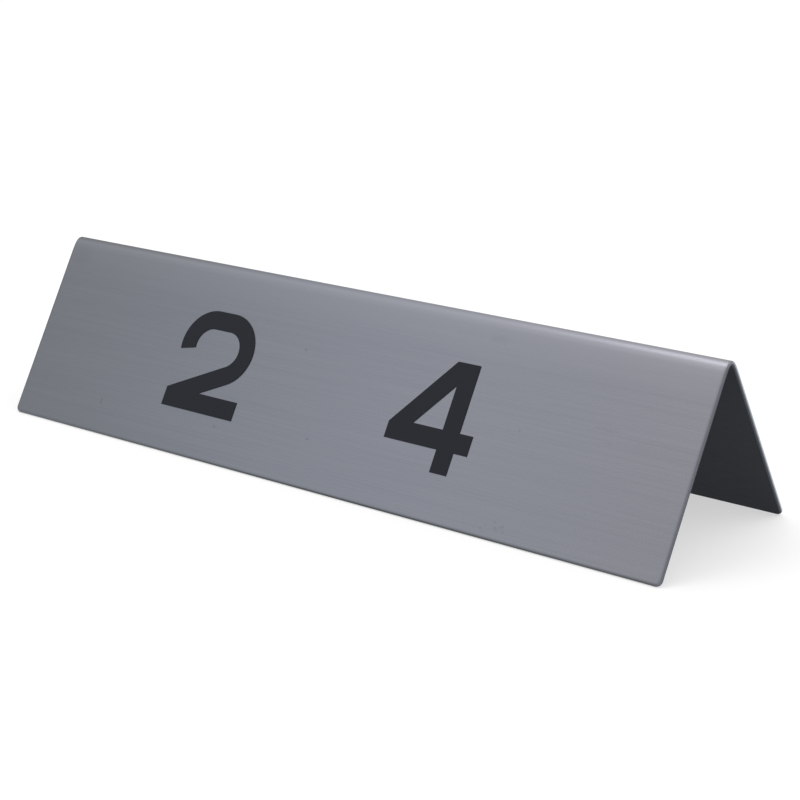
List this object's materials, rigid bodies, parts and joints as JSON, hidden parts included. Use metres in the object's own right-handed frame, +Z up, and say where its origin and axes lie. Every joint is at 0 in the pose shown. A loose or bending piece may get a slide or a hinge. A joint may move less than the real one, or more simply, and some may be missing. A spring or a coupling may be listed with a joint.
{
  "type": "table sign",
  "caption": "Tent-shaped table sign folded from one brushed steel sheet, with bold black film digits on its front panel.",
  "frame": {"origin": "on the table, under the middle of the fold, at the bottom centre of the bounding box", "axes": "+X along the fold, to the right of someone reading the front panel; +Y from the front panel to the rear panel; +Z up"},
  "size_m": [0.2, 0.0534, 0.0428],
  "materials": {
    "brushed_sheet": "hairline brushed along the fold, satin",
    "black_film": "self-adhesive film, satin black"
  },
  "bodies": {
    "root": {"folded_steel_sheet": "brushed_sheet", "left_film_digit": "black_film", "right_film_digit": "black_film"}
  },
  "joints": []
}
